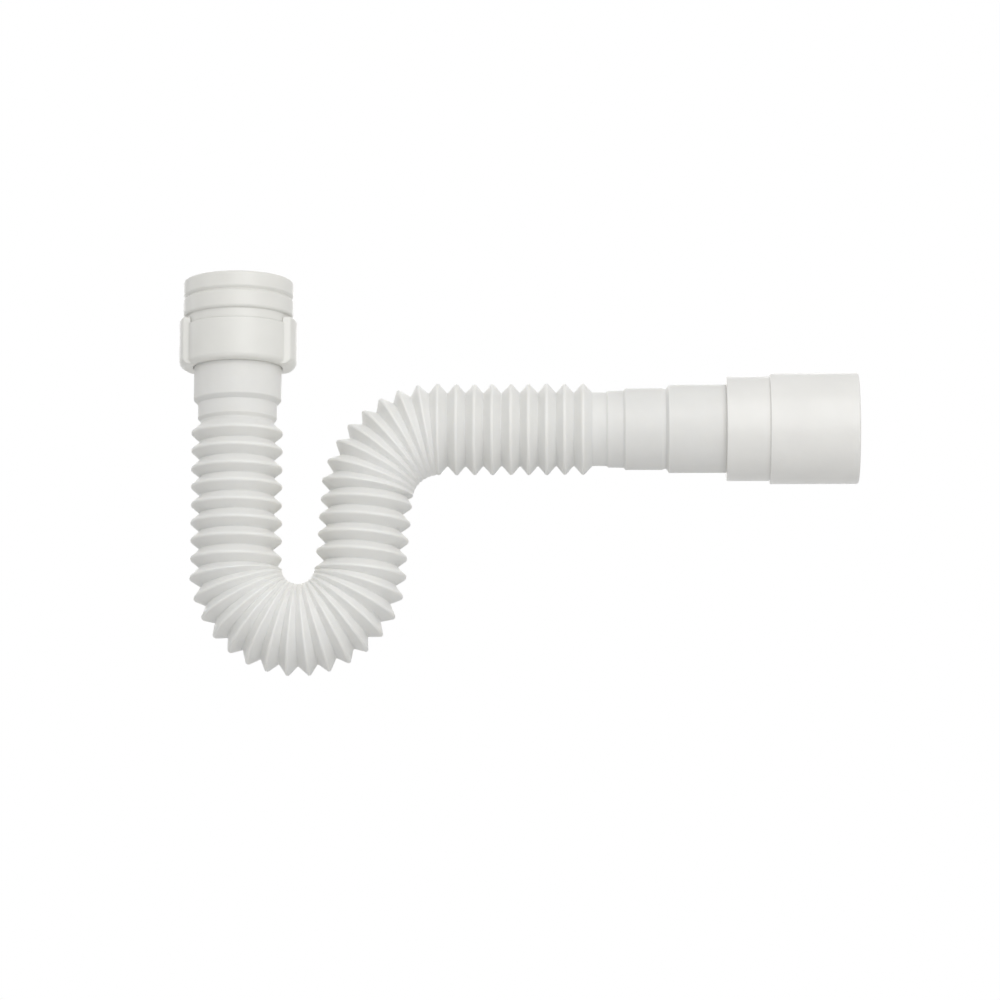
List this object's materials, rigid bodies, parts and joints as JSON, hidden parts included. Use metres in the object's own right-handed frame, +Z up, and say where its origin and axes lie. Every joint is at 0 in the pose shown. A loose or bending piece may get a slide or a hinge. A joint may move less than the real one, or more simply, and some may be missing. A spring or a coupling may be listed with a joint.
{
  "type": "flexible sink trap",
  "caption": "White flexible sink trap: threaded inlet with coupling nut, corrugated tube bent into a water-seal U and a horizontal run, stepped push-fit outlet sleeve.",
  "frame": {"origin": "centre of the inlet's rim, at the mouth of its thread", "axes": "+Z up out of the inlet, towards the sink; +X along the outlet run, towards the wall; the tube lies in the XZ plane"},
  "size_m": [0.3101, 0.0508, 0.1821],
  "materials": {
    "moulded_white": "injection-moulded white polypropylene, satin",
    "bellows_white": "blow-moulded white polypropylene, satin, a little waxy",
    "washer_rubber": "black rubber, matt"
  },
  "bodies": {
    "inlet": {"inlet_adapter": "moulded_white", "waste_washer": "washer_rubber"},
    "nut": {"coupling_nut": "moulded_white"},
    "trap": {"bellows_tube": "bellows_white", "union_washer": "washer_rubber"},
    "outlet": {"outlet_sleeve": "moulded_white"}
  },
  "joints": [
    {"name": "nut_turn", "type": "hinge", "parent": "inlet", "child": "nut", "pos_m": [0, 0, -0.03], "axis": [0, 0, 1], "continuous": true},
    {"name": "trap_swivel", "type": "hinge", "parent": "inlet", "child": "trap", "pos_m": [0, 0, -0.03625], "axis": [0, 0, 1], "continuous": true},
    {"name": "outlet_reach", "type": "slide", "parent": "trap", "child": "outlet", "axis": [1, 0, 0], "range_m": [-0.025, 0.02], "deforming": ["bellows_tube"]}
  ]
}
